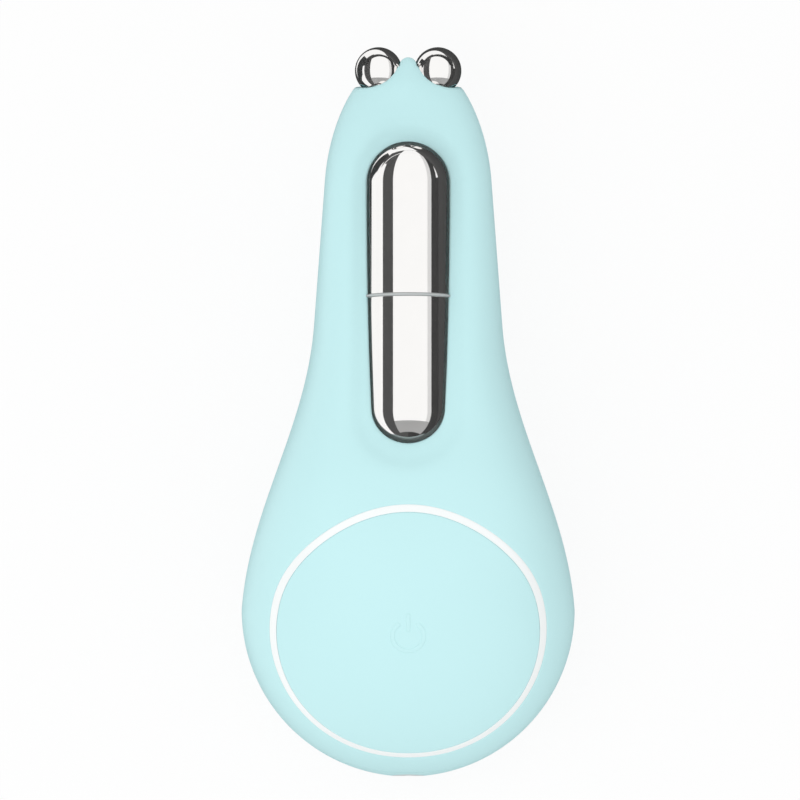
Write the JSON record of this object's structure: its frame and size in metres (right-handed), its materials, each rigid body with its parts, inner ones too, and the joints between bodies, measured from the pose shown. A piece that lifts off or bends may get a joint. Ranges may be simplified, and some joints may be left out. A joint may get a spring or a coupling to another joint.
{
  "type": "microcurrent eye device",
  "caption": "Hand-held microcurrent eye massager: soft aqua body, chrome spheres at the head, a split chrome capsule on the neck and a ringed press button on the bulb.",
  "frame": {"origin": "on the flat land of the back, below the centre of the round bulb", "axes": "+Z out of the front face, +Y along the device towards the spheres, +X to the right seen from the front"},
  "size_m": [0.0444, 0.0971, 0.03],
  "materials": {
    "aqua_silicone": "satin moulded silicone",
    "ring_white": "translucent white light guide",
    "chrome": "polished plating",
    "divider_grey": "grey insulator",
    "shell_white": "moulded hard plastic",
    "seal_rubber": "soft black seal",
    "board_green": "solder mask",
    "chip_black": "moulded package",
    "led_white": "small lamp package",
    "steel": "plain steel",
    "brass": "turned brass",
    "battery_foil": "foil pouch",
    "foam_grey": "closed-cell foam",
    "weight_metal": "sintered heavy metal",
    "lead_red": "insulated wire"
  },
  "bodies": {
    "housing": {"front_silicone_skin": "aqua_silicone", "rear_silicone_skin": "aqua_silicone", "light_ring": "ring_white", "electrode_sphere_left": "chrome", "electrode_sphere_right": "chrome", "capsule_upper_electrode": "chrome", "capsule_lower_electrode": "chrome", "capsule_divider": "divider_grey", "front_shell": "shell_white", "rear_shell": "shell_white", "capsule_cradle": "shell_white", "sphere_holder": "shell_white", "shell_gasket": "seal_rubber", "socket_seal": "seal_rubber", "motor_sleeve": "seal_rubber", "charge_socket": "shell_white", "main_board": "board_green", "board_chips": "chip_black", "ring_leds": "led_white", "switch_base": "chip_black", "switch_cover": "steel", "switch_dome": "steel", "board_screws": "steel", "shell_screws": "steel", "sphere_nuts": "brass", "capsule_nuts": "brass", "battery_cell": "battery_foil", "battery_pad": "foam_grey", "motor_can": "steel", "battery_leads": "lead_red", "motor_leads": "lead_red", "sphere_leads": "lead_red", "capsule_leads": "lead_red"},
    "button": {"button_pad": "aqua_silicone", "button_carrier": "shell_white"},
    "plunger": {"switch_plunger": "chip_black"},
    "rotor": {"motor_shaft": "steel", "eccentric_weight": "weight_metal"}
  },
  "joints": [
    {"name": "button_press", "type": "slide", "parent": "housing", "child": "button", "axis": [0, 0.4147, -0.91], "range_m": [0, 0.0005], "stiffness_N_per_m": 3000},
    {"name": "plunger_press", "type": "slide", "parent": "housing", "child": "plunger", "axis": [0, 0.4147, -0.91], "range_m": [0, 0.0005], "deforming": ["switch_dome"]},
    {"name": "rotor_spin", "type": "hinge", "parent": "housing", "child": "rotor", "pos_m": [0, 0.043, 0.0124], "axis": [0, 1, 0], "continuous": true}
  ],
  "couplings": [
    {"joint": "plunger_press", "follows": "button_press", "ratio": 1}
  ]
}
